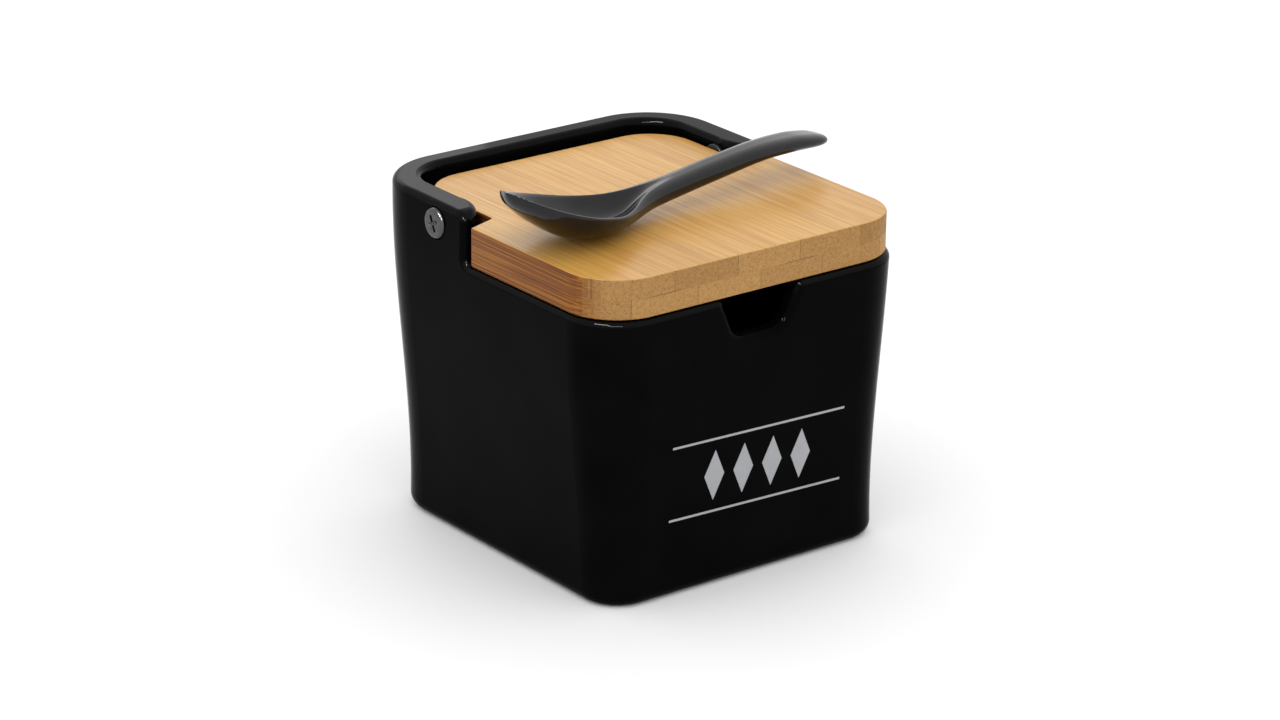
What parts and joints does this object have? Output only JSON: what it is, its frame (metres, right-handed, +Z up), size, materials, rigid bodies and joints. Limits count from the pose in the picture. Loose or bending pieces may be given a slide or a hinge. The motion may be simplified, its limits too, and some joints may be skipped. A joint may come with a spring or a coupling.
{
  "type": "salt box with hinged lid",
  "caption": "Square glazed salt box with a spoon notch in its front wall, a bamboo lid hinged on screws between two ears, and a loose spoon on the lid.",
  "frame": {"origin": "middle of the underside that the box stands on", "axes": "+Z up, -Y to the front with the notch, +X to the right seen from the front"},
  "size_m": [0.1121, 0.1052, 0.1061],
  "materials": {
    "box_glaze": "near-black gloss glaze",
    "print": "fired silver-grey print",
    "bamboo": "fine straight grain, thin satin oil",
    "screw_steel": "stainless, satin",
    "hinge_plastic": "black nylon",
    "spoon_glaze": "black gloss glaze"
  },
  "bodies": {
    "box": {"salt_box": "box_glaze", "front_print": "print", "hinge_bush_left": "hinge_plastic", "hinge_bush_right": "hinge_plastic", "head_washer_left": "hinge_plastic", "head_washer_right": "hinge_plastic"},
    "lid": {"lid_board": "bamboo", "hinge_screw_left": "screw_steel", "hinge_screw_right": "screw_steel"},
    "spoon": {"spoon": "spoon_glaze"}
  },
  "joints": [
    {"name": "lid_hinge", "type": "hinge", "parent": "box", "child": "lid", "pos_m": [0, 0.0202, 0.086], "axis": [-1, 0, 0], "range_deg": [0, 130]},
    {"name": "spoon_lift", "type": "slide", "parent": "lid", "child": "spoon", "axis": [0, 0, 1], "range_m": [0, 0.06]}
  ]
}
